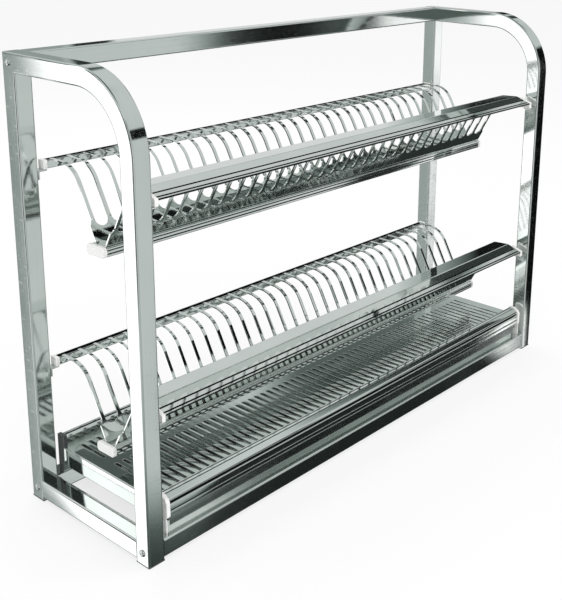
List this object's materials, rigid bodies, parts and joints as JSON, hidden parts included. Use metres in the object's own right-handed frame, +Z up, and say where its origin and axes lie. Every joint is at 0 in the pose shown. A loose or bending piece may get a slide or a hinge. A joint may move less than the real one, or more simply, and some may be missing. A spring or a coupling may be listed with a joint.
{
  "type": "dish drying shelf",
  "caption": "Free-standing steel dish drying shelf with plate racks one above the other, a slotted glass rack and a drip tray that slides out.",
  "frame": {"origin": "centre of the footprint, on the surface that the feet stand on", "axes": "+Z up, +X to the right along the shelf as its front is seen, +Y to the back"},
  "size_m": [0.9048, 0.249, 0.612],
  "materials": {
    "frame_steel": "polished",
    "rack_steel": "satin",
    "tray_steel": "satin",
    "bright_steel": "polished",
    "white_plastic": "satin",
    "grey_plastic": "matt"
  },
  "bodies": {
    "frame": {"back_bottom_bar": "frame_steel", "back_left_foot": "grey_plastic", "back_right_foot": "grey_plastic", "back_top_bar": "frame_steel", "bar_end_plugs": "grey_plastic", "frame_screws": "bright_steel", "front_bottom_bar": "frame_steel", "front_left_foot": "grey_plastic", "front_right_foot": "grey_plastic", "left_side_frame": "frame_steel", "lower_rack_brackets": "rack_steel", "right_side_frame": "frame_steel", "upper_rack_brackets": "rack_steel"},
    "upper_plate_rack": {"upper_back_cap_left": "white_plastic", "upper_back_cap_right": "white_plastic", "upper_back_rail": "rack_steel", "upper_bottom_cap_left": "white_plastic", "upper_bottom_cap_right": "white_plastic", "upper_bottom_rail": "rack_steel", "upper_front_cap_left": "white_plastic", "upper_front_cap_right": "white_plastic", "upper_front_comb": "rack_steel", "upper_rear_comb": "rack_steel"},
    "lower_plate_rack": {"lower_back_cap_left": "white_plastic", "lower_back_cap_right": "white_plastic", "lower_back_rail": "rack_steel", "lower_bottom_cap_left": "white_plastic", "lower_bottom_cap_right": "white_plastic", "lower_bottom_rail": "rack_steel", "lower_front_cap_left": "white_plastic", "lower_front_cap_right": "white_plastic", "lower_front_comb": "rack_steel", "lower_rear_comb": "rack_steel"},
    "glass_rack": {"glass_rack_back_cap_left": "grey_plastic", "glass_rack_back_cap_right": "grey_plastic", "glass_rack_back_rail": "rack_steel", "glass_rack_floor": "rack_steel", "glass_rack_front_cap_left": "white_plastic", "glass_rack_front_cap_right": "white_plastic", "glass_rack_front_rail": "rack_steel"},
    "drip_tray": {"drip_tray": "tray_steel"}
  },
  "joints": [
    {"name": "upper_rack_out", "type": "slide", "parent": "frame", "child": "upper_plate_rack", "axis": [0, -1, 0], "range_m": [0, 0.26]},
    {"name": "lower_rack_out", "type": "slide", "parent": "frame", "child": "lower_plate_rack", "axis": [0, -1, 0], "range_m": [0, 0.26]},
    {"name": "glass_rack_out", "type": "slide", "parent": "frame", "child": "glass_rack", "axis": [0, -1, 0], "range_m": [0, 0.26]},
    {"name": "drip_tray_slide", "type": "slide", "parent": "glass_rack", "child": "drip_tray", "axis": [0, -1, 0], "range_m": [0, 0.2]}
  ]
}
